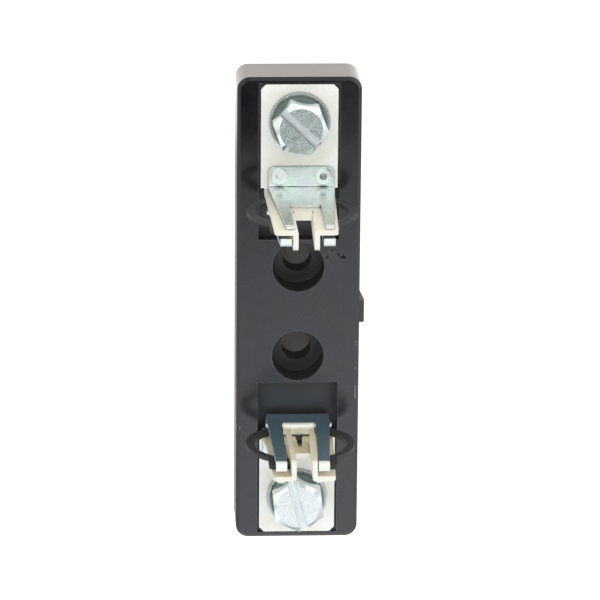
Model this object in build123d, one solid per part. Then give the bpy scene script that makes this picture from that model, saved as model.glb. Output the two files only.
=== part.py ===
from build123d import *
import os
from math import radians, tan

os.makedirs("parts", exist_ok=True)

# Fuse base for blade type high breaking capacity fuse links, size 00, one pole.
# Origin: centre of the mounting hole pattern, on the back face.
# X runs across the base, Y along it, Z from the back face towards the contacts.
# All lengths are in millimetres. Heights named "h" are counted from the front face.

# Base moulding
base_length = 129.0
base_width = 33.0
base_height = 16.0
base_corner_radius = 3.4
front_rim_chamfer = 0.9
back_rim_chamfer = 0.5

# Mounting holes on the centre line
mounting_pitch = 25.0
mounting_hole_diameter = 8.0
counterbore_diameter = 14.0
counterbore_depth = 8.8

# Contact recess, counted inwards from the end of the base
recess_width = 21.6
recess_start = 1.5
recess_end = 44.5
plate_sink = 1.0
well_start = 28.6
well_depth = 4.4

# Side lug
lug_width = 6.2
lug_proud = 1.3
lug_back_proud = 0.2
lug_front_drop = 0.8
lug_root = 0.6
lug_foot = 0.5
lug_front_chamfer = 0.5
lug_offset = -0.3

# Contact, bent and folded from one sheet
sheet = 1.3
plate_width = 20.4
plate_start = 1.8
plate_corner_chamfer = 1.3
shoulder_at = 30.0
shoulder_notch_height = 7.0
wall_at = 30.4
wall_bend_radius = 1.0
ear_half_bottom = 9.3
ear_half_top = 8.15
ear_top = 39.7
ear_corner_radius = 1.3
lip_from = 21.6
lip_top = 23.4
lip_forward = 0.7
cheek_gap_bottom = 2.5
cheek_gap_top = 2.1
cheek_bottom = 14.0
cheek_reach = 36.0
cheek_corner_radius = 1.4
cheek_fold_radius = 0.8
relief_bottom = 3.6
relief_top = 16.1
relief_half_bottom = 1.25
relief_half_top = 0.4

# Terminal
terminal_at = 11.9
terminal_hole_diameter = 9.0
bolt_shank_diameter = 7.9
bolt_length = 16.0
bolt_across_flats = 13.0
bolt_head_height = 5.3
bolt_chamfer_diameter = 11.4
bolt_chamfer_angle = 30.0
slot_width = 2.5
slot_depth = 2.3
upper_slot_angle = -44.0
upper_hex_angle = 50.5
lower_slot_angle = 105.0
lower_hex_angle = 96.0
plain_washer_diameter = 16.0
plain_washer_hole = 8.4
plain_washer_thickness = 1.6
spring_washer_diameter = 14.4
spring_washer_hole = 8.3
spring_washer_thickness = 2.0
spring_washer_gap = 0.9
spring_washer_gap_turn = -20.0
spring_washer_gap_slant = 30.0
nut_across_flats = 13.0
nut_height = 6.5
nut_bore_diameter = 8.0
nut_pocket_clearance = 0.1
nut_pocket_floor_gap = 0.2
tip_hole_diameter = 9.2
tip_hole_floor_gap = 0.8

# Rivets through both springs, the contact and the moulding
rivet_at = 26.5
rivet_half_spacing = 5.8
rivet_shift = 0.5
rivet_diameter = 3.0
rivet_hole_diameter = 3.2
rivet_rolled_diameter = 4.2
rivet_rolled_height = 0.7
rivet_bore_diameter = 2.0
rivet_bore_depth = 3.0
rivet_head_diameter = 5.6
rivet_head_height = 1.2
rivet_pocket_side = 7.0
rivet_pocket_depth = 4.0

# Back spring, between the bolt and the contact's wall
back_sheet = 1.1
back_foot_start = 24.1
back_half_width = 8.7
back_foot_corner = 1.4
back_bend_radius = 0.4
back_taper_from = 4.0
back_half_top = 6.1
back_window_bottom = 18.6
back_window_half = 4.1
back_top = 38.9
back_tip_radius = 0.9
back_lean = 0.4

# Front spring, on the fuse side of the wall
front_sheet = 1.0
front_foot_start = 23.4
front_plate_at = 34.3
front_half_width = 8.4
front_bend_radius = 0.8
front_foot_clearance = 0.25
nub_proud = 0.45
nub_bottom = 5.4
nub_top = 7.7
nub_slope = 0.4
window_bottom = 7.7
window_half = 4.5
tongue_half = 4.15
tongue_back = 32.3
fold_radius = 0.45
arm_half_bottom = 8.3
arm_half_top = 7.05
arm_inner_top = 4.15
arm_lean = 0.4
arm_top = 38.7
tip_back = 32.9

# Clamping ring: a flat retaining ring that squeezes the two cheeks together
ring_thickness = 1.2
ring_centre_height = 16.0
ring_outer_radius = 14.5
ring_side_width = 2.2
ring_bore_offset = 0.6
ring_lug_proud = 3.4
ring_lug_half_span = 9.0
ring_lug_corner = 0.7
ring_seat_gap = 0.02

# How far a cut runs past the face that it opens
overcut = 1.0

half_length = base_length / 2
plate_bottom = -plate_sink
plate_top = plate_bottom + sheet
wall_inner = wall_at + sheet


def y_at(inset):
    """Y of a point on the upper half, this far inwards from the end of the base."""
    return half_length - inset


def z_at(h):
    """Z of a point this far above the front face of the moulding."""
    return base_height + h


def block(half_x, inset_a, inset_b, h_a, h_b):
    """Box across the centre line, between two insets and two heights."""
    size = Box(2 * half_x, inset_b - inset_a, h_b - h_a)
    middle = Vector(0, y_at((inset_a + inset_b) / 2), z_at((h_a + h_b) / 2))
    return Pos(middle) * size


def disc(diameter, x, inset, h_a, h_b):
    """Upright cylinder between two heights."""
    middle = Vector(x, y_at(inset), z_at((h_a + h_b) / 2))
    return Pos(middle) * Cylinder(diameter / 2, h_b - h_a)


def hexagon(across_flats, inset, h_a, h_b, corner_angle):
    """Upright hexagonal prism on the centre line, with one corner at the angle given."""
    outline = RegularPolygon(across_flats / 2, 6, major_radius=False, rotation=corner_angle)
    foot = Pos(0, y_at(inset), z_at(h_a)) * outline
    return extrude(foot, h_b - h_a, dir=(0, 0, 1))


def upright(points, inset_a, inset_b):
    """Sheet standing across the base: X and height points, between two insets."""
    corners = [Vector(x, y_at(inset_a), z_at(h)) for x, h in points]
    face = make_face(Polyline(*corners, close=True))
    return extrude(face, inset_b - inset_a, dir=(0, -1, 0))


def both_sides(points):
    """The points on the right half, then the same points mirrored to the left."""
    return points + [(-x, h) for x, h in reversed(points)]


def quarter_bend(half_x, inner, thickness, inset, h, outwards, upwards):
    """Quarter of a rolled bend about the X direction, with its centre given."""
    outer = inner + thickness
    turned = Rot(0, 90, 0)
    tube = Cylinder(outer, 2 * half_x) - Cylinder(inner, 2 * half_x + overcut)
    corner = Box(2 * half_x + overcut, outer, outer)
    corner = Pos(0, -outwards * outer / 2, upwards * outer / 2) * corner
    return Pos(0, y_at(inset), z_at(h)) * (turned * tube & corner)


def edges_near(shape, x, inset, h, reach=0.05):
    """Edges whose middle lies at the point given, on either side of the centre line."""
    found = []
    for edge in shape.edges():
        middle = edge @ 0.5
        if x is not None and abs(abs(middle.X) - x) > reach:
            continue
        if inset is not None and abs(middle.Y - y_at(inset)) > reach:
            continue
        if h is not None and abs(middle.Z - z_at(h)) > reach:
            continue
        found.append(edge)
    return found


def rivet_x(side):
    """X of the rivet on one side of the jaw: they sit a little right of its middle."""
    return rivet_shift + side * rivet_half_spacing


def leaned(points, shift, lean, top):
    """The points moved sideways by a shift, and by a lean that grows with height."""
    return [(x + shift + lean * h / top, h) for x, h in points]


def cheek_line(h):
    """Half of the gap between the cheeks at a height."""
    share = (h - cheek_bottom) / (ear_top - cheek_bottom)
    return cheek_gap_bottom + share * (cheek_gap_top - cheek_gap_bottom)


def other_end(shape):
    """The same piece turned half round, for the lower end of the base."""
    return Rot(0, 0, 180) * shape


def make_base():
    body = Pos(0, 0, base_height / 2) * Box(base_width, base_length, base_height)
    body = fillet(body.edges().filter_by(Axis.Z), base_corner_radius)
    body = chamfer(body.faces().sort_by(Axis.Z)[-1].edges(), front_rim_chamfer)
    body = chamfer(body.faces().sort_by(Axis.Z)[0].edges(), back_rim_chamfer)

    edge = base_width / 2
    lug_front = base_height - lug_front_drop
    wedge = [
        (edge - lug_root, lug_foot),
        (edge + lug_back_proud, lug_foot),
        (edge + lug_proud, lug_front - lug_front_chamfer),
        (edge + lug_proud - lug_front_chamfer, lug_front),
        (edge - lug_root, lug_front),
    ]
    corners = [Vector(x, lug_offset - lug_width / 2, z) for x, z in wedge]
    lug = extrude(make_face(Polyline(*corners, close=True)), lug_width, dir=(0, 1, 0))
    body += lug

    for end in (0, 180):
        turn = Rot(0, 0, end)
        half = recess_width / 2
        cuts = [
            block(half, recess_start, well_start, plate_bottom, overcut),
            block(half, well_start, recess_end, -well_depth, overcut),
            block(
                front_half_width + front_foot_clearance,
                front_foot_start - front_foot_clearance,
                well_start + overcut,
                plate_bottom - front_sheet,
                overcut,
            ),
            hexagon(
                nut_across_flats + 2 * nut_pocket_clearance,
                terminal_at,
                plate_bottom - nut_height - nut_pocket_floor_gap,
                overcut,
                0,
            ),
            disc(
                tip_hole_diameter,
                0,
                terminal_at,
                bolt_tip_h - tip_hole_floor_gap,
                overcut,
            ),
        ]
        pocket = block(
            rivet_pocket_side / 2,
            rivet_at - rivet_pocket_side / 2,
            rivet_at + rivet_pocket_side / 2,
            -base_height - overcut,
            -base_height + rivet_pocket_depth,
        )
        for side in (-1, 1):
            x = rivet_x(side)
            through = (-base_height - overcut, overcut)
            cuts.append(disc(rivet_hole_diameter, x, rivet_at, *through))
            cuts.append(Pos(x, 0, 0) * pocket)
        for cut in cuts:
            body -= turn * cut
    for y in (-mounting_pitch / 2, mounting_pitch / 2):
        body -= Pos(0, y, base_height / 2) * Cylinder(
            mounting_hole_diameter / 2, base_height + 2 * overcut
        )
        bore = Cylinder(counterbore_diameter / 2, counterbore_depth + overcut)
        body -= Pos(0, y, base_height - (counterbore_depth - overcut) / 2) * bore
    return body


def make_contact():
    bend_at = wall_at - wall_bend_radius
    bend_h = plate_top + wall_bend_radius
    plate = block(plate_width / 2, plate_start, bend_at, plate_bottom, plate_top)
    outer = edges_near(plate, plate_width / 2, plate_start, None)
    plate = chamfer(outer, plate_corner_chamfer)
    bend = quarter_bend(
        plate_width / 2, wall_bend_radius, sheet, bend_at, bend_h, 1, -1
    )
    outline = both_sides(
        [(ear_half_bottom, bend_h), (ear_half_top, ear_top)]
    )
    wall = upright(outline, wall_at, wall_inner)
    tops = edges_near(wall, ear_half_top, None, ear_top)
    wall = fillet(tops, ear_corner_radius)
    body = plate + bend + wall

    for side in (-1, 1):
        beside_ear = [
            (side * ear_half_bottom, plate_bottom - overcut),
            (side * plate_width, plate_bottom - overcut),
            (side * plate_width, plate_bottom + shoulder_notch_height),
            (side * ear_half_bottom, plate_bottom + shoulder_notch_height),
        ]
        body -= upright(beside_ear, shoulder_at, wall_inner + overcut)

    for side in (-1, 1):
        points = [
            (side * cheek_line(cheek_bottom), cheek_bottom),
            (side * cheek_line(ear_top), ear_top),
            (side * (cheek_line(ear_top) + sheet), ear_top),
            (side * (cheek_line(cheek_bottom) + sheet), cheek_bottom),
        ]
        cheek = upright(points, wall_at + sheet / 2, cheek_reach)
        front = edges_near(cheek, None, cheek_reach, ear_top)
        cheek = fillet(front, cheek_corner_radius)
        body += cheek

    notch_top = ear_top + overcut
    notch = both_sides(
        [(cheek_line(lip_from), lip_from), (cheek_line(notch_top), notch_top)]
    )
    body -= upright(notch, wall_at - overcut, wall_inner + overcut)
    relief = both_sides(
        [(relief_half_bottom, relief_bottom), (relief_half_top, relief_top)]
    )
    body -= upright(relief, wall_at - overcut, wall_inner + overcut)

    folds = []
    for edge in body.edges():
        middle = edge @ 0.5
        near = cheek_line(middle.Z - base_height)
        on_wall = abs(middle.Y - y_at(wall_at)) < 0.01
        tall = edge.length > 10
        if on_wall and tall and abs(abs(middle.X) - near) < 0.05:
            folds.append(edge)
    body = fillet(folds, cheek_fold_radius)

    lip = [
        (wall_at, lip_from),
        (wall_inner, lip_from),
        (wall_inner + lip_forward, lip_top),
        (wall_at + lip_forward, lip_top),
    ]
    corners = [Vector(-cheek_line(lip_top), y_at(inset), z_at(h)) for inset, h in lip]
    section = make_face(Polyline(*corners, close=True))
    body += extrude(section, 2 * cheek_line(lip_top), dir=(1, 0, 0))

    through = (plate_bottom - overcut, plate_top + overcut)
    body -= disc(terminal_hole_diameter, 0, terminal_at, *through)
    for side in (-1, 1):
        body -= disc(rivet_hole_diameter, rivet_x(side), rivet_at, *through)
    return body


def make_back_spring():
    foot_bottom = plate_top
    foot_top = foot_bottom + back_sheet
    outer_face = wall_at - back_sheet
    bend_at = outer_face - back_bend_radius
    bend_h = foot_top + back_bend_radius
    foot = block(back_half_width, back_foot_start, bend_at, foot_bottom, foot_top)
    corners = edges_near(foot, back_half_width, back_foot_start, None)
    foot = fillet(corners, back_foot_corner)
    bend = quarter_bend(
        back_half_width, back_bend_radius, back_sheet, bend_at, bend_h, 1, -1
    )
    foot = Pos(rivet_shift, 0, 0) * (foot + bend)
    outline = both_sides(
        [
            (back_half_width, bend_h),
            (back_half_width, back_taper_from),
            (back_half_top, back_top),
        ]
    )
    outline = leaned(outline, rivet_shift, back_lean, back_top)
    wall = upright(outline, outer_face, wall_at)
    window = both_sides(
        [(back_window_half, back_window_bottom), (back_window_half, back_top + overcut)]
    )
    window = leaned(window, rivet_shift, back_lean, back_top)
    wall -= upright(window, outer_face - overcut, wall_at + overcut)
    tips = []
    for edge in wall.edges():
        middle = edge @ 0.5
        on_top = abs(middle.Z - z_at(back_top)) < 0.01
        if on_top and abs(middle.Y - y_at(outer_face)) < 0.01:
            tips.append(edge)
    wall = fillet(tips, back_tip_radius)
    body = foot + wall
    through = (foot_bottom - overcut, foot_top + overcut)
    for side in (-1, 1):
        body -= disc(rivet_hole_diameter, rivet_x(side), rivet_at, *through)
    return body


def make_front_spring():
    foot_top = plate_bottom
    foot_bottom = foot_top - front_sheet
    front_face = front_plate_at + front_sheet
    bend_at = front_plate_at - front_bend_radius
    bend_h = foot_top + front_bend_radius
    foot = block(front_half_width, front_foot_start, bend_at, foot_bottom, foot_top)
    bend = quarter_bend(
        front_half_width, front_bend_radius, front_sheet, bend_at, bend_h, 1, -1
    )
    fold_outer = fold_radius + front_sheet
    arm_end = arm_top - fold_outer
    outline = both_sides(
        [
            (front_half_width, bend_h),
            (front_half_width, nub_bottom),
            (front_half_width + nub_proud, nub_bottom + nub_slope),
            (front_half_width + nub_proud, nub_top - nub_slope),
            (arm_half_bottom, nub_top + nub_slope),
            (arm_half_top, arm_end),
            (arm_inner_top, arm_end),
            (window_half, window_bottom),
            (tongue_half, window_bottom),
            (tongue_half, window_bottom - fold_outer),
        ]
    )
    rise = arm_end - nub_top
    outline = [(x + arm_lean * max(h - nub_top, 0) / rise, h) for x, h in outline]
    plate = upright(outline, front_plate_at, front_face)

    tongue_at = front_plate_at - fold_radius
    tongue_h = window_bottom - fold_outer
    tongue = quarter_bend(
        tongue_half, fold_radius, front_sheet, tongue_at, tongue_h, 1, 1
    )
    tongue += block(
        tongue_half,
        tongue_back,
        tongue_at,
        window_bottom - front_sheet,
        window_bottom,
    )

    body = foot + bend + plate + tongue
    for side in (-1, 1):
        half = (arm_half_top - arm_inner_top) / 2
        x = arm_lean + side * (arm_half_top + arm_inner_top) / 2
        tip = quarter_bend(half, fold_radius, front_sheet, tongue_at, arm_end, 1, 1)
        tip += block(half, tip_back, tongue_at, arm_top - front_sheet, arm_top)
        body += Pos(x, 0, 0) * tip
        through = (foot_bottom - overcut, foot_top + overcut)
        body -= disc(rivet_hole_diameter, rivet_x(side), rivet_at, *through)
    return body


def make_clamp_ring():
    bore_radius = ring_outer_radius - ring_side_width
    middle_radius = ring_outer_radius - ring_side_width / 2
    lug_top = ring_outer_radius + ring_lug_proud
    bearing_h = ring_centre_height + bore_radius
    slot_half = cheek_line(bearing_h) + sheet + ring_seat_gap
    outline = Circle(ring_outer_radius) - Pos(0, ring_bore_offset) * Circle(bore_radius)
    for side in (-1, 1):
        lug = [
            (ring_lug_half_span, (middle_radius**2 - ring_lug_half_span**2) ** 0.5),
            (ring_lug_half_span, lug_top - ring_lug_corner),
            (ring_lug_half_span - ring_lug_corner, lug_top),
            (slot_half + ring_lug_corner, lug_top),
            (slot_half, lug_top - ring_lug_corner),
            (slot_half, (middle_radius**2 - slot_half**2) ** 0.5),
        ]
        outline += make_face(Polyline(*[(side * x, h) for x, h in lug], close=True))
    gap = Rectangle(2 * slot_half, 2 * ring_outer_radius)
    outline -= Pos(0, ring_outer_radius) * gap
    seat = Plane(
        origin=(0, y_at(wall_inner + ring_seat_gap), z_at(ring_centre_height)),
        x_dir=(1, 0, 0),
        z_dir=(0, -1, 0),
    )
    return extrude(seat * outline, ring_thickness, dir=(0, -1, 0))


def make_rivet(side):
    x = rivet_x(side)
    seat = plate_top + back_sheet
    floor = -base_height + rivet_pocket_depth
    top = seat + rivet_rolled_height
    body = disc(rivet_diameter, x, rivet_at, floor - rivet_head_height, top)
    body += disc(rivet_head_diameter, x, rivet_at, floor - rivet_head_height, floor)
    body += disc(rivet_rolled_diameter, x, rivet_at, seat, top)
    body -= disc(rivet_bore_diameter, x, rivet_at, top - rivet_bore_depth, top + overcut)
    return body


washer_bottom = plate_top
washer_top = washer_bottom + plain_washer_thickness
head_bottom = washer_top + spring_washer_thickness
head_top = head_bottom + bolt_head_height
bolt_tip_h = head_bottom - bolt_length


def make_bolt(hex_angle, slot_angle):
    head = hexagon(bolt_across_flats, terminal_at, head_bottom, head_top, hex_angle)
    crown = bolt_chamfer_diameter / 2
    skirt = crown + bolt_across_flats
    cone_height = (skirt - crown) * tan(radians(bolt_chamfer_angle))
    cone = Cone(skirt, crown, cone_height)
    head &= Pos(0, y_at(terminal_at), z_at(head_top - cone_height / 2)) * cone
    shank = disc(bolt_shank_diameter, 0, terminal_at, bolt_tip_h, head_bottom)
    slot = Box(3 * bolt_across_flats, slot_width, slot_depth * 2)
    slot = Pos(0, y_at(terminal_at), z_at(head_top)) * Rot(0, 0, slot_angle) * slot
    return head + shank - slot


def make_plain_washer():
    ring = disc(plain_washer_diameter, 0, terminal_at, washer_bottom, washer_top)
    through = (washer_bottom - overcut, washer_top + overcut)
    return ring - disc(plain_washer_hole, 0, terminal_at, *through)


def make_spring_washer():
    ring = disc(spring_washer_diameter, 0, terminal_at, washer_top, head_bottom)
    through = (washer_top - overcut, head_bottom + overcut)
    ring -= disc(spring_washer_hole, 0, terminal_at, *through)
    split = Box(spring_washer_diameter, spring_washer_gap, 4 * spring_washer_thickness)
    split = Rot(spring_washer_gap_slant, 0, 0) * split
    split = Pos(spring_washer_diameter / 2, 0, 0) * split
    middle = Vector(0, y_at(terminal_at), z_at((washer_top + head_bottom) / 2))
    return ring - Pos(middle) * Rot(0, 0, spring_washer_gap_turn) * split


def make_nut():
    top = plate_bottom
    nut = hexagon(nut_across_flats, terminal_at, top - nut_height, top, 0)
    through = (top - nut_height - overcut, top + overcut)
    return nut - disc(nut_bore_diameter, 0, terminal_at, *through)


def save(name, shape):
    export_step(shape, f"parts/{name}.step")


save("base_moulding", make_base())

contact = make_contact()
back_spring = make_back_spring()
front_spring = make_front_spring()
clamp_ring = make_clamp_ring()
rivets = {"left": make_rivet(-1), "right": make_rivet(1)}
plain_washer = make_plain_washer()
spring_washer = make_spring_washer()
nut = make_nut()
pieces = {
    "contact": contact,
    "back_spring": back_spring,
    "front_spring": front_spring,
    "clamp_ring": clamp_ring,
    "plain_washer": plain_washer,
    "spring_washer": spring_washer,
    "nut": nut,
}
for name, shape in pieces.items():
    save(f"upper_{name}", shape)
    save(f"lower_{name}", other_end(shape))
save("upper_rivet_left", rivets["left"])
save("upper_rivet_right", rivets["right"])
save("lower_rivet_left", other_end(rivets["right"]))
save("lower_rivet_right", other_end(rivets["left"]))
save("upper_terminal_bolt", make_bolt(upper_hex_angle, upper_slot_angle))
save(
    "lower_terminal_bolt",
    other_end(make_bolt(lower_hex_angle + 180, lower_slot_angle + 180)),
)
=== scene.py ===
import math

import bpy
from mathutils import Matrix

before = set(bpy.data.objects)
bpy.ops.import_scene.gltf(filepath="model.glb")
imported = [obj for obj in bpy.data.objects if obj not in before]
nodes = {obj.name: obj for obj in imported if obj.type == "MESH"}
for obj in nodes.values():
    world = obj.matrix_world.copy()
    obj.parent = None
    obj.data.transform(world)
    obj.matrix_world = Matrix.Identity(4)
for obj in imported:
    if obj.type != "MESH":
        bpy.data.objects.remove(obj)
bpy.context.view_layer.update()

# Base moulding. One block of black phenolic, pressed in a hot steel mould that also forms the two
# screw holes, the recesses and the pockets. Every other piece is fixed to it. Handling has dulled
# its lower part, knocked pale chips off the rim and left tar and a dusty film by the upper hole.

# X and Y of the middle, and the reach, in millimetres
CHIPS = [(16.4, -9.6, 1.7), (16.4, -16.7, 1.4), (16.4, -23.0, 2.7), (-16.4, -32.5, 1.5)]
TAR_DROPS = [(9.2, 17.1, 0.8), (11.7, 15.1, 0.8), (7.6, 15.0, 0.5), (10.6, 16.2, 0.4)]
DUST_FILM = (9.1, 14.9, 4.0)

# Metres in from the outline, which holds the sides and the rim's chamfer
OUTER_BAND = 0.0012
# Metres below the front face: how deep a chip goes, and where the hollows lose the polish
CHIP_DEPTH = 0.002
HOLLOW_STARTS, HOLLOW_FULL = 0.0004, 0.001
# Metres along Y: where the black turns to a lighter grey, a painted light on the lower end, and
# where the gloss turns dull
LIGHTENING_STARTS, LIGHTENING_FULL = 0.035, 0.012
HANDLING_STARTS, HANDLING_FULL = 0.05, 0.036
# Roughness of the three kinds of face, and what the waves add to it
NEW_FACE, HANDLED_FACE, HOLLOW_FACE = 0.04, 0.17, 0.45
WAVES_ADD = 0.06
# Millimetres across one wave, speck, crumb, cloud and smear of the patterns
WAVE_MM, SPECK_MM, CRUMB_MM, CLOUD_MM, SMEAR_MM = 6.0, 0.45, 0.9, 16.0, 1.2
SMEAR_REACH = 0.003

base_points = [point.co for point in nodes["base_moulding"].data.vertices]
side_at = -min(point.x for point in base_points)
end_at = max(point.y for point in base_points)
front_at = max(point.z for point in base_points)

# A colour Mix takes its share at 0 and its two colours at 6 and 7, and gives the result at 2
SHARE, UNDER, OVER, MIXED = 0, 6, 7, 2


def hex_colour(text):
    """An sRGB hex colour as the linear RGBA that shaders take."""
    channels = [int(text[i : i + 2], 16) / 255 for i in (1, 3, 5)]
    linear = [c / 12.92 if c <= 0.04045 else ((c + 0.055) / 1.055) ** 2.4 for c in channels]
    return (*linear, 1.0)


def add_node(tree, kind, sockets=(), out=0, **settings):
    """Adds one shader node, sets it up, fills or links its sockets, and returns an output."""
    node = tree.nodes.new("ShaderNode" + kind)
    for name, value in settings.items():
        setattr(node, name, value)
    filled = sockets.items() if isinstance(sockets, dict) else enumerate(sockets)
    for socket, value in filled:
        if isinstance(value, bpy.types.NodeSocket):
            tree.links.new(value, node.inputs[socket])
        elif value is not None:
            node.inputs[socket].default_value = value
    return node.outputs if out is None or not node.outputs else node.outputs[out]


def start_finish(name):
    """A new material, its node tree and where on the piece each point is, in metres."""
    material = bpy.data.materials.new(name)
    material.use_nodes = True
    tree = material.node_tree
    tree.nodes.clear()
    return material, tree, add_node(tree, "TexCoord", out="Object")


# Pressed black phenolic. It takes the polish of the mould, so it is glossy where new, with a slight
# waviness from shrinking and pale grains of mineral filler. The real grains are about 0.1 mm, too
# fine to show, and are drawn at SPECK_MM. A Map Range takes a value, the two numbers that it runs
# between and the two that it then gives.
phenolic, tree, place = start_finish("pressed black phenolic")
x, y, z = add_node(tree, "SeparateXYZ", [place], None)
off_middle = add_node(tree, "Math", [x], operation="ABSOLUTE")
off_centre = add_node(tree, "Math", [y], operation="ABSOLUTE")
in_width = add_node(tree, "Math", [off_middle, side_at - OUTER_BAND], operation="LESS_THAN")
in_length = add_node(tree, "Math", [off_centre, end_at - OUTER_BAND], operation="LESS_THAN")
within = add_node(tree, "Math", [in_width, in_length], operation="MULTIPLY")
waves, specks, crumbs, clouds = [
    add_node(tree, "TexNoise", {"Vector": place, "Scale": 1000 / across_mm, "Detail": detail})
    for across_mm, detail in ((WAVE_MM, 1.0), (SPECK_MM, 3.0), (CRUMB_MM, 3.0), (CLOUD_MM, 2.0))
]

body = add_node(
    tree,
    "Mix",
    {SHARE: waves, UNDER: hex_colour("#121214"), OVER: hex_colour("#1A1A1C")},
    MIXED,
    data_type="RGBA",
)
clouds = add_node(tree, "MapRange", [clouds, 0.4, 0.6, 0.0, 1.0])
# Painted light: towards the lower end the black is mixed to this lighter, clouded grey, which
# stands in for the brighter reflection there
painted_light_grey = add_node(
    tree,
    "Mix",
    {SHARE: clouds, UNDER: hex_colour("#23272C"), OVER: hex_colour("#2B272C")},
    MIXED,
    data_type="RGBA",
)
lower_end_lightening = add_node(tree, "MapRange", [y, LIGHTENING_STARTS, LIGHTENING_FULL, 0.0, 0.85])
speckled = add_node(tree, "MapRange", [specks, 0.64, 0.8, 0.0, 0.7])


def largest_spot(tree, place, spots):
    """1 at the middle of each spot on the front face, falling to 0 at its reach."""
    flat = add_node(tree, "VectorMath", [place, (1, 1, 0)], operation="MULTIPLY")
    top = 0.0
    for x, y, reach in spots:
        middle = (x / 1000, y / 1000, 0)
        away = add_node(tree, "VectorMath", [flat, middle], "Value", operation="DISTANCE")
        spot = add_node(tree, "MapRange", [away, 0.0, reach / 1000, 1.0, 0.0])
        top = add_node(tree, "Math", [spot, top], operation="MAXIMUM")
    return top


# The place is shifted to and fro by a noise, so that spots get a ragged outline
smear = add_node(
    tree, "TexNoise", {"Vector": place, "Scale": 1000 / SMEAR_MM, "Detail": 2.0}, "Color"
)
smear = add_node(tree, "VectorMath", [smear, (0.5, 0.5, 0.5)], operation="SUBTRACT")
ragged = add_node(
    tree, "VectorMath", [smear, (SMEAR_REACH,) * 3, place], operation="MULTIPLY_ADD"
)
dust = add_node(tree, "MapRange", [crumbs, 0.4, 0.6, 0.0, 0.5])
dusted = largest_spot(tree, ragged, [DUST_FILM])
dusted = add_node(tree, "Math", [dusted, dust], operation="MULTIPLY")


def along_edges(tree, reach_mm, share=1.0):
    """The share along edges and 0 on flats, from the lean of a rounded normal (8 to 32 degrees)."""
    rounded = add_node(tree, "Bevel", [reach_mm / 1000], samples=6)
    own = add_node(tree, "NewGeometry", out="Normal")
    agree = add_node(tree, "VectorMath", [rounded, own], "Value", operation="DOT_PRODUCT")
    return add_node(tree, "MapRange", [agree, 0.99, 0.85, 0.0, share])


# Pale along the edges: worn on the outer edges, and a painted highlight along the inner corners,
# such as round the floors of the counterbores
rubbed_and_highlit = along_edges(tree, reach_mm=0.25, share=0.55)
rubbed_and_highlit = add_node(tree, "Math", [rubbed_and_highlit, within], operation="MULTIPLY")
near_front = add_node(tree, "Math", [z, front_at - CHIP_DEPTH], operation="GREATER_THAN")
chipped = largest_spot(tree, ragged, CHIPS)
for limit in (along_edges(tree, reach_mm=0.7), crumbs, near_front):
    chipped = add_node(tree, "Math", [chipped, limit], operation="MULTIPLY")
chipped = add_node(tree, "MapRange", [chipped, 0.12, 0.22, 0.0, 1.0])
drops = largest_spot(tree, ragged, TAR_DROPS)
drops = add_node(tree, "Math", [crumbs, 0.8, drops], operation="MULTIPLY_ADD")
drops = add_node(tree, "MapRange", [drops, 0.72, 0.8, 0.0, 1.0])
for share, coat in (
    (lower_end_lightening, painted_light_grey),
    (speckled, hex_colour("#454545")),
    (dusted, hex_colour("#3E4645")),
    (rubbed_and_highlit, hex_colour("#8A8888")),
    (chipped, hex_colour("#DAD7D2")),
    (drops, hex_colour("#0A0A0A")),
):
    body = add_node(
        tree, "Mix", {SHARE: share, UNDER: body, OVER: coat}, MIXED, data_type="RGBA"
    )

dull = add_node(tree, "MapRange", [y, HANDLING_STARTS, HANDLING_FULL, NEW_FACE, HANDLED_FACE])
dull = add_node(tree, "Math", [waves, WAVES_ADD, dull], operation="MULTIPLY_ADD")
sunk = add_node(
    tree,
    "MapRange",
    [z, front_at - HOLLOW_STARTS, front_at - HOLLOW_FULL, 0.0, HOLLOW_FACE],
)
sunk = add_node(tree, "Math", [sunk, within], operation="MULTIPLY")
for duller in (sunk, chipped):
    dull = add_node(tree, "Math", [dull, duller], operation="MAXIMUM")
skin = add_node(tree, "Bump", {"Height": waves, "Distance": 0.0001, "Strength": 0.1})
skin = add_node(
    tree, "Bump", {"Height": specks, "Distance": 2e-5, "Strength": 0.06, "Normal": skin}
)


def dress(node_names, material, tree, broken_edge_mm, **surface):
    """Ends a material with one surface, puts it on CAD pieces and breaks their sharp edges."""
    sockets = {name.replace("_", " "): value for name, value in surface.items()}
    shader = add_node(tree, "BsdfPrincipled", sockets)
    add_node(tree, "OutputMaterial", [shader])
    for name in node_names:
        piece = nodes[name]
        piece.data.materials.clear()
        piece.data.materials.append(material)
        rounding = piece.modifiers.new("broken edges", "BEVEL")
        rounding.width = broken_edge_mm / 1000
        rounding.segments = 2
        rounding.limit_method = "ANGLE"
        rounding.angle_limit = math.radians(40)
        rounding.harden_normals = True


dress(
    ["base_moulding"],
    phenolic,
    tree,
    broken_edge_mm=0.25,
    Base_Color=body,
    Metallic=drops,
    Roughness=dull,
    IOR=1.65,
    Normal=skin,
)

# Contacts. Each is one sheet of copper, blanked, folded up into the jaw and silver plated, and held
# on the moulding by two rivets and the terminal bolt. The faces towards the fuse have yellowed.
# Tight corners are darkened brown as painted shade, most on the faces towards the fuse.

# Metres above the moulding's back, between which the jaw turns a warmer white, which as painted
# light pales its yellowed faces
JAW_LIGHT_STARTS, JAW_LIGHT_FULL = 0.03, 0.045
# Real rolling lines and plating grain are about 0.05 mm, and are drawn coarser so that they show
ROLLING_LINE_MM, PLATING_GRAIN_MM, BLOTCH_MM = 0.4, 0.35, 7.0
LINE_STRETCH = 0.05


def painted_corner_shade(tree, reach_mm, share=1.0):
    """The share of a painted shade in tight inner corners and under edges, and 0 in the open."""
    openness = add_node(tree, "AmbientOcclusion", {"Distance": reach_mm / 1000}, "AO", samples=8)
    return add_node(tree, "MapRange", [openness, 0.75, 0.3, 0.0, share])


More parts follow.
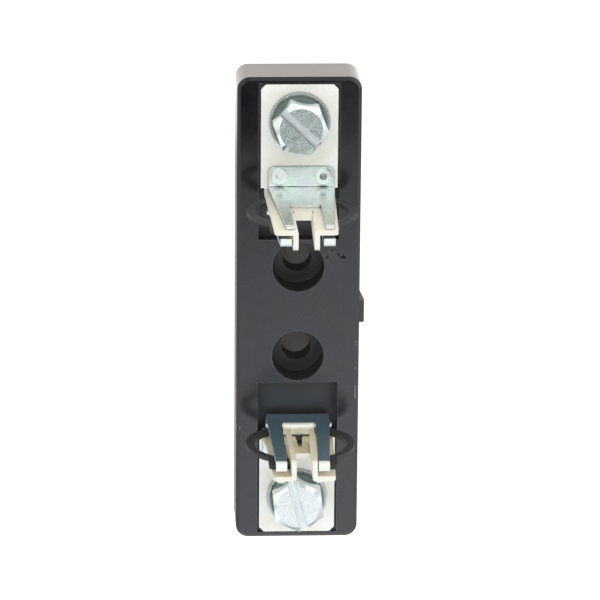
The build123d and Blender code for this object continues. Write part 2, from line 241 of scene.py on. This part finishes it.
# Silver plated copper. Silver straight from the bath is a matt, warm white, and the sheet's rolling
# lines still show through it along the strip. Air yellows it first where it is rubbed least.
silver, tree, place = start_finish("silver plated copper")
strip = add_node(tree, "Mapping", {"Vector": place, "Scale": (1.0, LINE_STRETCH, LINE_STRETCH)})
rolling, grain, blotches = [
    add_node(tree, "TexNoise", {"Vector": where, "Scale": 1000 / across_mm, "Detail": detail})
    for where, across_mm, detail in (
        (strip, ROLLING_LINE_MM, 4.0),
        (place, PLATING_GRAIN_MM, 3.0),
        (place, BLOTCH_MM, 3.0),
    )
]
tarnish = add_node(tree, "MapRange", [blotches, 0.4, 0.7, 0.0, 0.6])
plating = add_node(
    tree,
    "Mix",
    {SHARE: tarnish, UNDER: hex_colour("#FEFEFB"), OVER: hex_colour("#F6F4E6")},
    MIXED,
    data_type="RGBA",
)
facing = add_node(tree, "SeparateXYZ", [add_node(tree, "NewGeometry", out="Normal")], "Y")
x, y, z = add_node(tree, "SeparateXYZ", [place], None)
end = add_node(tree, "Math", [y], operation="SIGN")
outwards = add_node(tree, "Math", [facing, end], operation="MULTIPLY")
to_bolt = add_node(tree, "MapRange", [outwards, 0.6, 0.9, 0.0, 1.0])
to_fuse = add_node(tree, "MapRange", [outwards, -0.6, -0.9, 0.0, 1.0])
yellowed = add_node(tree, "MapRange", [blotches, 0.3, 0.6, 0.4, 1.0])
yellowed = add_node(tree, "Math", [to_fuse, yellowed], operation="MULTIPLY")
jaw_top_light = add_node(tree, "MapRange", [z, JAW_LIGHT_STARTS, JAW_LIGHT_FULL, 0.0, 0.55])
grainy = add_node(tree, "MapRange", [grain, 0.6, 0.8, 0.0, 0.4])
fuse_side_corner_shade = add_node(tree, "Math", [to_fuse, 0.3, 0.65], operation="MULTIPLY_ADD")
for share, coat in (
    (to_bolt, "#EDEBE0"),
    (yellowed, "#F7E9C6"),
    # Painted light: the upper jaw is mixed towards a pale cream, which lifts its yellowed faces
    (jaw_top_light, "#F6F1E4"),
    (grainy, "#D9D4C4"),
    # Painted shade: tight corners are darkened to a brown, most on the faces towards the fuse
    (painted_corner_shade(tree, reach_mm=0.9, share=fuse_side_corner_shade), "#5E5233"),
):
    plating = add_node(
        tree,
        "Mix",
        {SHARE: share, UNDER: plating, OVER: hex_colour(coat)},
        MIXED,
        data_type="RGBA",
    )
face = add_node(tree, "Bump", {"Height": rolling, "Distance": 2e-5, "Strength": 0.15})
face = add_node(
    tree, "Bump", {"Height": grain, "Distance": 3e-5, "Strength": 0.2, "Normal": face}
)
dress(
    ["upper_contact", "lower_contact"],
    silver,
    tree,
    broken_edge_mm=0.15,
    Base_Color=plating,
    Metallic=1.0,
    Roughness=add_node(tree, "MapRange", [rolling, 0.3, 0.7, 0.7, 0.82]),
    Normal=face,
)

# Back springs. Spring steel strip, blanked and bent, then zinc plated and given a clear passivate.
# Each stands behind its contact's wall, on the bolt side, with its foot held down on the contact
# by the two rivets.

# The plating's real grain is finer than 0.1 mm, and is drawn coarser here and on the front springs
SPRING_DRIFT_MM = 4.0
SPRING_GRAIN_MM = 0.35

# Clear passivated zinc. It is nearly a mirror with a faint green cast. The foot, which lies flat,
# and the other level faces are painted lighter in a pink and cyan oily bloom, a painted light; the
# sheared edges carry a painted highlight and the corners a painted shade.
clear_zinc, tree, place = start_finish("clear passivated zinc on spring steel")
drift, grain = [
    add_node(tree, "TexNoise", {"Vector": place, "Scale": 1000 / across_mm, "Detail": 3.0})
    for across_mm in (SPRING_DRIFT_MM, SPRING_GRAIN_MM)
]
tint = add_node(
    tree,
    "Mix",
    {SHARE: drift, UNDER: hex_colour("#C2D3C8"), OVER: hex_colour("#DAE1DF")},
    MIXED,
    data_type="RGBA",
)
bloom_and_level_light = add_node(tree, "MapRange", [drift, 0.42, 0.6, 0.0, 1.0])
bloom_and_level_light = add_node(
    tree,
    "Mix",
    {SHARE: bloom_and_level_light, UNDER: hex_colour("#E8F6F4"), OVER: hex_colour("#F2EEF6")},
    MIXED,
    data_type="RGBA",
)
up = add_node(tree, "SeparateXYZ", [add_node(tree, "NewGeometry", out="Normal")], "Z")
for share, coat in (
    # Painted light on level faces, painted highlight along the edges and painted shade in the
    # corners
    (add_node(tree, "MapRange", [up, 0.8, 0.95, 0.0, 0.9]), bloom_and_level_light),
    (along_edges(tree, reach_mm=0.25, share=0.8), hex_colour("#F4F7F6")),
    (painted_corner_shade(tree, reach_mm=0.9, share=0.8), hex_colour("#56605A")),
):
    tint = add_node(
        tree, "Mix", {SHARE: share, UNDER: tint, OVER: coat}, MIXED, data_type="RGBA"
    )
dress(
    ["upper_back_spring", "lower_back_spring"],
    clear_zinc,
    tree,
    broken_edge_mm=0.12,
    Base_Color=tint,
    Metallic=1.0,
    Roughness=add_node(tree, "MapRange", [drift, 0.3, 0.7, 0.22, 0.34]),
    Normal=add_node(tree, "Bump", {"Height": grain, "Distance": 2e-5, "Strength": 0.12}),
)

# Front springs. The same strip, blanked with a window whose tongue is folded out to hold the ring,
# and zinc plated with a blue passivate. Each stands on the fuse side of its contact, with its foot
# held under the contact by the rivets.

FLECK_MM = 0.4

# Blue passivated zinc. Its thin film looks pale from straight on and deep blue at a shallow angle,
# and it is satin, with fine pale flecks drawn at FLECK_MM so that they show.
blue_zinc, tree, place = start_finish("blue passivated zinc on spring steel")
drift, grain = [
    add_node(tree, "TexNoise", {"Vector": place, "Scale": 1000 / across_mm, "Detail": 3.0})
    for across_mm in (SPRING_DRIFT_MM, FLECK_MM)
]
film = add_node(
    tree,
    "Mix",
    {SHARE: drift, UNDER: hex_colour("#F4FAF3"), OVER: hex_colour("#F8F9F1")},
    MIXED,
    data_type="RGBA",
)
slant = add_node(tree, "LayerWeight", [0.5], "Facing")
deep = add_node(tree, "MapRange", [slant, 0.4, 0.62, 0.0, 1.0])
flecks = add_node(tree, "MapRange", [grain, 0.6, 0.75, 0.0, 0.5])
for share, coat in (
    (deep, "#BEE4F8"),
    (flecks, "#E4F0EC"),
    # Painted highlight: the edges are mixed towards a pale white
    (along_edges(tree, reach_mm=0.2, share=0.8), "#F4F7F6"),
):
    film = add_node(
        tree,
        "Mix",
        {SHARE: share, UNDER: film, OVER: hex_colour(coat)},
        MIXED,
        data_type="RGBA",
    )
satin = add_node(tree, "MapRange", [deep, 0.0, 1.0, 0.6, 0.4])
dress(
    ["upper_front_spring", "lower_front_spring"],
    blue_zinc,
    tree,
    broken_edge_mm=0.12,
    Base_Color=film,
    Metallic=1.0,
    Roughness=add_node(tree, "Math", [flecks, 0.3, satin], operation="MULTIPLY_ADD"),
    Normal=add_node(tree, "Bump", {"Height": grain, "Distance": 2e-5, "Strength": 0.15}),
)

# Clamping rings. Flat spring steel, blanked as an open ring with two square lugs and phosphated
# black. Each stands between the contact's wall and the front spring, under its tongue, and its lugs
# squeeze the two cheeks together.

# Real phosphate crystals are about 0.01 mm, and are drawn coarser so that they show
CRYSTAL_MM = 0.3

# Black phosphate. Its crystals scatter the light, so it is nearly matt and a little grey.
phosphate, tree, place = start_finish("black phosphate on spring steel")
crystal = add_node(
    tree, "TexNoise", {"Vector": place, "Scale": 1000 / CRYSTAL_MM, "Detail": 3.0}
)
coating = add_node(
    tree,
    "Mix",
    {SHARE: crystal, UNDER: hex_colour("#2B2B2D"), OVER: hex_colour("#3F3E3F")},
    MIXED,
    data_type="RGBA",
)
dress(
    ["upper_clamp_ring", "lower_clamp_ring"],
    phosphate,
    tree,
    broken_edge_mm=0.1,
    Base_Color=coating,
    Roughness=add_node(tree, "MapRange", [crystal, 0.3, 0.7, 0.48, 0.58]),
    IOR=1.5,
    Normal=add_node(tree, "Bump", {"Height": crystal, "Distance": 2e-5, "Strength": 0.15}),
)

# Rivets and nuts. The rivets are headed steel with a hollow end. Their heads lie in the moulding's
# back pockets, and the hollow ends are rolled over on the back springs' feet. The nuts are pressed
# steel, and lie in pockets under the contacts.

# Metres along X, between which the painted shade round the rivets deepens from left to right
RIVET_SHADE_STARTS, RIVET_SHADE_FULL = -0.005, 0.005
# The plating's real pits are finer than 0.1 mm, and are drawn coarser here and on what follows
ZINC_DRIFT_MM, PIT_MM = 2.5, 0.4

# Bright zinc plated steel. Fresh zinc is silvery with a cool cast, and it is a soft mirror.
zinc, tree, place = start_finish("bright zinc plated steel")
drift, pits = [
    add_node(tree, "TexNoise", {"Vector": place, "Scale": 1000 / across_mm, "Detail": 3.0})
    for across_mm in (ZINC_DRIFT_MM, PIT_MM)
]
bright = add_node(
    tree,
    "Mix",
    {SHARE: drift, UNDER: hex_colour("#F0F6F4"), OVER: hex_colour("#FCFDFC")},
    MIXED,
    data_type="RGBA",
)
x = add_node(tree, "SeparateXYZ", [place], "X")
rivet_shade_share = add_node(tree, "MapRange", [x, RIVET_SHADE_STARTS, RIVET_SHADE_FULL, 0.15, 0.6])
for share, coat in (
    # Painted highlight along the edges, and painted shade in the corners round the rivets and nuts,
    # deeper to the right
    (along_edges(tree, reach_mm=0.25, share=0.7), "#F6F9F9"),
    (painted_corner_shade(tree, reach_mm=2.0, share=rivet_shade_share), "#4C5651"),
):
    bright = add_node(
        tree,
        "Mix",
        {SHARE: share, UNDER: bright, OVER: hex_colour(coat)},
        MIXED,
        data_type="RGBA",
    )
dress(
    ["upper_nut", "lower_nut"]
    + [f"{end}_rivet_{side}" for end in ("upper", "lower") for side in ("left", "right")],
    zinc,
    tree,
    broken_edge_mm=0.12,
    Base_Color=bright,
    Metallic=1.0,
    Roughness=add_node(tree, "MapRange", [pits, 0.3, 0.7, 0.18, 0.28]),
    Normal=add_node(tree, "Bump", {"Height": pits, "Distance": 3e-5, "Strength": 0.15}),
)

# Plain washers. Punched from steel sheet and zinc plated. Each lies on the terminal flat of its
# contact, under the spring washer, and rides up with the bolt.

# Dulled zinc. It has gone grey and greenish, with a dark painted shade where the spring washer
# lies.
dull_zinc, tree, place = start_finish("dulled zinc on steel")
drift, pits = [
    add_node(tree, "TexNoise", {"Vector": place, "Scale": 1000 / across_mm, "Detail": 3.0})
    for across_mm in (ZINC_DRIFT_MM, PIT_MM)
]
dulled = add_node(
    tree,
    "Mix",
    {SHARE: drift, UNDER: hex_colour("#A3B2AE"), OVER: hex_colour("#CBD3D0")},
    MIXED,
    data_type="RGBA",
)
for share, coat in (
    # Painted highlight along the edges, and dark painted shade in the corners under the spring
    # washer
    (along_edges(tree, reach_mm=0.2, share=0.6), "#E6ECEA"),
    (painted_corner_shade(tree, reach_mm=1.8, share=0.92), "#2B312E"),
):
    dulled = add_node(
        tree,
        "Mix",
        {SHARE: share, UNDER: dulled, OVER: hex_colour(coat)},
        MIXED,
        data_type="RGBA",
    )
dress(
    ["upper_plain_washer", "lower_plain_washer"],
    dull_zinc,
    tree,
    broken_edge_mm=0.12,
    Base_Color=dulled,
    Metallic=1.0,
    Roughness=add_node(tree, "MapRange", [pits, 0.3, 0.7, 0.22, 0.34]),
    Normal=add_node(tree, "Bump", {"Height": pits, "Distance": 3e-5, "Strength": 0.2}),
)

# Spring washers. Flattened spring steel wire, coiled, cut, hardened and phosphated black. Each
# stays pressed flat under the head of its bolt.

# Real crystals are about 0.01 mm, and are drawn coarser so that they show
OILED_CRYSTAL_MM = 0.4

# Oiled black phosphate. A film of oil fills the crystals and makes the black shine like dark metal,
# and the edges have rubbed through to the steel.
oiled, tree, place = start_finish("oiled black phosphate on spring steel")
crystal = add_node(
    tree, "TexNoise", {"Vector": place, "Scale": 1000 / OILED_CRYSTAL_MM, "Detail": 3.0}
)
black = add_node(
    tree,
    "Mix",
    {SHARE: crystal, UNDER: hex_colour("#525D59"), OVER: hex_colour("#86938E")},
    MIXED,
    data_type="RGBA",
)
bare = along_edges(tree, reach_mm=0.2, share=0.6)
black = add_node(
    tree,
    "Mix",
    {SHARE: bare, UNDER: black, OVER: hex_colour("#B4C0BC")},
    MIXED,
    data_type="RGBA",
)
dress(
    ["upper_spring_washer", "lower_spring_washer"],
    oiled,
    tree,
    broken_edge_mm=0.12,
    Base_Color=black,
    Metallic=1.0,
    Roughness=add_node(tree, "MapRange", [crystal, 0.3, 0.7, 0.28, 0.4]),
    Normal=add_node(tree, "Bump", {"Height": crystal, "Distance": 3e-5, "Strength": 0.2}),
)

# Terminal bolts. Steel, cold headed with a hexagon, chamfered, sawn across for a screwdriver, with
# a rolled thread, and zinc plated. Each goes through its two washers and the contact into the nut.
# The thread is left to the material, because it is fine.

# Metres: the thread's pitch, what is sure to hold the shank, and depths below the head's top
THREAD_PITCH = 0.00125
SHANK_RADIUS = 0.0042
CROWN_DEPTH = 0.0004
THREAD_STARTS = 0.0058
# Real saw lines are about 0.1 mm apart, and are drawn coarser and stretched along the slot
SAW_LINE_MM = 0.25
SAW_STRETCH = 0.05
DENT_MM = 0.9
# End, the slot's angle in degrees, and the lighter and darker zinc of its mottled crown; the upper
# crown's darker zinc is in part painted shade
BOLTS = [("upper", -44.0, "#DCE4E1", "#A2B3AD"), ("lower", 105.0, "#E3E6E4", "#DADEDC")]

for end, slot_angle, light, dark in BOLTS:
    washer = [point.co for point in nodes[f"{end}_plain_washer"].data.vertices]
    axis_y = (min(point.y for point in washer) + max(point.y for point in washer)) / 2
    head_top = max(point.co.z for point in nodes[f"{end}_terminal_bolt"].data.vertices)

    # Zinc plated steel. The sides of the hexagon are nearly mirrors, the struck crown is dented and
    # mottled, and the slot's floor is streaked by the saw.
    bolt_zinc, tree, place = start_finish(f"zinc plated {end} bolt")
    centred = add_node(tree, "VectorMath", [place, (0, -axis_y, 0)], operation="ADD")
    x, y, z = add_node(tree, "SeparateXYZ", [centred], None)
    along_slot = add_node(
        tree, "Mapping", {"Vector": centred, "Rotation": (0, 0, math.radians(-slot_angle))}
    )
    along_slot = add_node(
        tree, "VectorMath", [along_slot, (SAW_STRETCH, 1, 1)], operation="MULTIPLY"
    )
    drift, pits, dents, sawn = [
        add_node(tree, "TexNoise", {"Vector": where, "Scale": 1000 / across_mm, "Detail": detail})
        for where, across_mm, detail in (
            (place, ZINC_DRIFT_MM, 3.0),
            (place, PIT_MM, 3.0),
            (place, DENT_MM, 4.0),
            (along_slot, SAW_LINE_MM, 2.0),
        )
    ]

    up = add_node(tree, "SeparateXYZ", [add_node(tree, "NewGeometry", out="Normal")], "Z")
    level = add_node(tree, "MapRange", [up, 0.97, 0.995, 0.0, 1.0])
    top = add_node(tree, "Math", [z, head_top - CROWN_DEPTH], operation="GREATER_THAN")
    crown = add_node(tree, "Math", [level, top], operation="MULTIPLY")
    slot_floor = add_node(tree, "Math", [level, crown], operation="SUBTRACT")

    patchy = add_node(tree, "Math", [drift, 0.5, pits], operation="MULTIPLY_ADD")
    patchy = add_node(tree, "MapRange", [patchy, 0.62, 0.9, 0.0, 1.0])
    streaks = add_node(tree, "MapRange", [sawn, 0.4, 0.6, 0.0, 1.0])
    colour, mottled_and_shaded_crown, streaked = [
        add_node(
            tree,
            "Mix",
            {SHARE: share, UNDER: hex_colour(first), OVER: hex_colour(second)},
            MIXED,
            data_type="RGBA",
        )
        for share, first, second in (
            (drift, "#D8E2E2", "#EAEEEC"),
            (patchy, light, dark),
            (streaks, "#F6FAFA", "#D2DCDA"),
        )
    ]
    # Mottled crown, darker on the upper bolt in part as painted shade; painted highlight along the
    # edges and painted shade in the corners
    for share, coat in (
        (crown, mottled_and_shaded_crown),
        (slot_floor, streaked),
        (along_edges(tree, reach_mm=0.25, share=0.9), hex_colour("#F6F8F8")),
        (painted_corner_shade(tree, reach_mm=0.5, share=0.9), hex_colour("#46504B")),
    ):
        colour = add_node(
            tree, "Mix", {SHARE: share, UNDER: colour, OVER: coat}, MIXED, data_type="RGBA"
        )

    turn = add_node(tree, "Math", [y, x], operation="ARCTAN2")
    ridge = add_node(tree, "Math", [z, math.tau / THREAD_PITCH, turn], operation="MULTIPLY_ADD")
    ridge = add_node(tree, "Math", [ridge], operation="SINE")
    off_axis = add_node(tree, "VectorMath", [centred, (1, 1, 0)], operation="MULTIPLY")
    off_axis = add_node(tree, "VectorMath", [off_axis], "Value", operation="LENGTH")
    in_shank = add_node(tree, "Math", [off_axis, SHANK_RADIUS], operation="LESS_THAN")
    below_head = add_node(tree, "Math", [z, head_top - THREAD_STARTS], operation="LESS_THAN")
    for limit in (in_shank, below_head):
        ridge = add_node(tree, "Math", [ridge, limit], operation="MULTIPLY")
    dented = add_node(tree, "MapRange", [crown, 0.0, 1.0, 0.05, 0.15])
    scored = add_node(tree, "Math", [slot_floor, 0.3], operation="MULTIPLY")
    skin = add_node(tree, "Bump", {"Height": ridge, "Distance": 0.0003, "Strength": 1.0})
    for height, distance, strength in ((dents, 0.00012, dented), (sawn, 5e-5, scored)):
        skin = add_node(
            tree,
            "Bump",
            {"Height": height, "Distance": distance, "Strength": strength, "Normal": skin},
        )
    matt = add_node(tree, "MapRange", [crown, 0.0, 1.0, 0.17, 0.23])
    dress(
        [f"{end}_terminal_bolt"],
        bolt_zinc,
        tree,
        broken_edge_mm=0.12,
        Base_Color=colour,
        Metallic=1.0,
        Roughness=add_node(tree, "Math", [matt, scored], operation="MAXIMUM"),
        Normal=skin,
    )

# Studio floor. A sheet of white paper under the object. It is plain white to the eye, and what the
# object mirrors of it is brighter beyond the upper end, where the photo's light fell on it.

# Metres: half the sheet's width, its drop below the object, and the edge kept unlit under it
FLOOR_HALF = 3.0
FLOOR_DROP = 0.0002
UNLIT_EDGE = 0.001
# Metres along Y, and the brightness that is mirrored at each
MIRROR_STARTS, MIRROR_FULL = 0.04, 0.065
MIRROR_DIM, MIRROR_BRIGHT = 0.35, 1.15

floor_mesh = bpy.data.meshes.new("studio floor")
corners = [
    (across * FLOOR_HALF, along * FLOOR_HALF, 0)
    for across, along in ((-1, -1), (1, -1), (1, 1), (-1, 1))
]
floor_mesh.from_pydata(corners, [], [(0, 1, 2, 3)])
floor = bpy.data.objects.new("studio floor", floor_mesh)
floor.location.z = -FLOOR_DROP
bpy.context.collection.objects.link(floor)

# White paper. It is matt and a light grey in its own right, so that it keeps the object's shadow,
# and it glows white to the camera, to mirrors and through glass.
paper, tree, place = start_finish("white paper")
x, y, z = add_node(tree, "SeparateXYZ", [place], None)
off_middle = add_node(tree, "Math", [x], operation="ABSOLUTE")
off_centre = add_node(tree, "Math", [y], operation="ABSOLUTE")
beside = add_node(tree, "Math", [off_middle, side_at - UNLIT_EDGE], operation="GREATER_THAN")
beyond = add_node(tree, "Math", [off_centre, end_at - UNLIT_EDGE], operation="GREATER_THAN")
open_floor = add_node(tree, "Math", [beside, beyond], operation="MAXIMUM")
rays = add_node(tree, "LightPath", out=None)
mirrored = add_node(
    tree, "MapRange", [y, MIRROR_STARTS, MIRROR_FULL, MIRROR_DIM, MIRROR_BRIGHT]
)
seen = add_node(
    tree,
    "Math",
    [mirrored, rays["Is Glossy Ray"], rays["Is Camera Ray"]],
    operation="MULTIPLY_ADD",
)
seen = add_node(tree, "Math", [seen, rays["Is Transmission Ray"]], operation="ADD")
lit = add_node(tree, "Math", [seen, open_floor], operation="MULTIPLY")
warmth = add_node(
    tree,
    "Mix",
    {SHARE: rays["Is Glossy Ray"], UNDER: hex_colour("#FFFFFF"), OVER: hex_colour("#FBF6F2")},
    MIXED,
    data_type="RGBA",
)
glow = add_node(tree, "Emission", [warmth, lit])
matt = add_node(tree, "BsdfDiffuse", [hex_colour("#A9A7A4")])
add_node(tree, "OutputMaterial", [add_node(tree, "AddShader", [matt, glow])])
floor_mesh.materials.append(paper)

# Sky. A bright, soft surround with one dark strip in it just short of overhead, where nothing shone
# down on the object. It alone lights the scene. The strip's slanted edge is what darkens the upper
# end of the moulding.

# How bright the sky is by how far it leans over the lower end, in degrees from overhead
SKY = [
    (-80, 0.50, "#FFFFFF"),
    (-60, 1.10, "#FFFFFF"),
    (-40, 1.36, "#FFFFFF"),
    (-4, 1.36, "#FFFFFF"),
    (2, 0.0, "#FFFFFF"),
    (16.4, 0.0, "#FFFFFF"),
    (17.9, 0.95, "#FFFFFF"),
    (20.0, 1.45, "#FFFFFF"),
    (21.5, 1.60, "#F4F9FF"),
    (35, 1.60, "#F4F9FF"),
    (70, 0.60, "#F4F9FF"),
]
SKY_BRIGHTEST = 1.6
# Degrees that the strip's edge moves from straight above to the far right
STRIP_SLANT = 33.0
# Shares of SKY_BRIGHTEST: the fill from the sides, from the middle outwards, and the two flanks
FILL_MIDDLE, FILL_SIDE = 0.03, 0.5
FLANK_LEFT, FLANK_RIGHT = 0.4, 0.75

world = bpy.data.worlds.new("soft sky")
bpy.context.scene.world = world
world.use_nodes = True
tree = world.node_tree
tree.nodes.clear()
aim = add_node(tree, "TexCoord", out="Generated")
x, y, z = add_node(tree, "SeparateXYZ", [aim], None)
low = add_node(tree, "Math", [y, -1.0], operation="MULTIPLY")
lean = add_node(tree, "Math", [low, z], operation="ARCTAN2")
lean = add_node(tree, "Math", [lean], operation="DEGREES")
lean = add_node(tree, "Math", [x, STRIP_SLANT, lean], operation="MULTIPLY_ADD")
lean = add_node(tree, "MapRange", [lean, -90.0, 90.0, 0.0, 1.0])
glow = add_node(tree, "ValToRGB", [lean])
ramp = glow.node.color_ramp
for at, brightness, tint in SKY:
    stop = ramp.elements.new((at + 90) / 180)
    level = brightness / SKY_BRIGHTEST
    stop.color = (*[channel * level for channel in hex_colour(tint)[:3]], 1.0)
# The ramp comes with two stops of its own
ramp.elements.remove(ramp.elements[0])
ramp.elements.remove(ramp.elements[-1])
off_middle = add_node(tree, "Math", [x], operation="ABSOLUTE")
fill = add_node(tree, "MapRange", [off_middle, 0.25, 0.6, FILL_MIDDLE, FILL_SIDE])
glow = add_node(
    tree,
    "Mix",
    {SHARE: 1.0, UNDER: glow, OVER: fill},
    MIXED,
    data_type="RGBA",
    blend_type="LIGHTEN",
)
flank = add_node(tree, "MapRange", [x, -1.0, 1.0, FLANK_LEFT, FLANK_RIGHT])
at_flank = add_node(tree, "MapRange", [off_middle, 0.75, 0.95, 0.0, 1.0])
glow = add_node(
    tree, "Mix", {SHARE: at_flank, UNDER: glow, OVER: flank}, MIXED, data_type="RGBA"
)
sky = add_node(tree, "Background", [glow, SKY_BRIGHTEST])
plain = add_node(tree, "Background", [hex_colour("#FFFFFF"), 1.0])
seen = add_node(tree, "LightPath", out="Is Camera Ray")
add_node(tree, "OutputWorld", [add_node(tree, "MixShader", [seen, sky, plain])])

# Camera. Nearly straight above the front face, leaning to the upper end and a little to the left,
# from about a metre away through a long lens.

lens_data = bpy.data.cameras.new("camera")
lens_data.sensor_width = 36.0
lens_data.lens = 240.0
lens_data.shift_x = -0.0008
lens_data.clip_start = 0.01
lens_data.clip_end = 20.0
camera = bpy.data.objects.new("camera", lens_data)
camera.location = (-0.053674, 0.321287, 1.037465)
camera.rotation_euler = [math.radians(angle) for angle in (-17.298, -2.902, 0.450)]
bpy.context.collection.objects.link(camera)
bpy.context.scene.camera = camera
bpy.context.scene.view_settings.view_transform = "Standard"
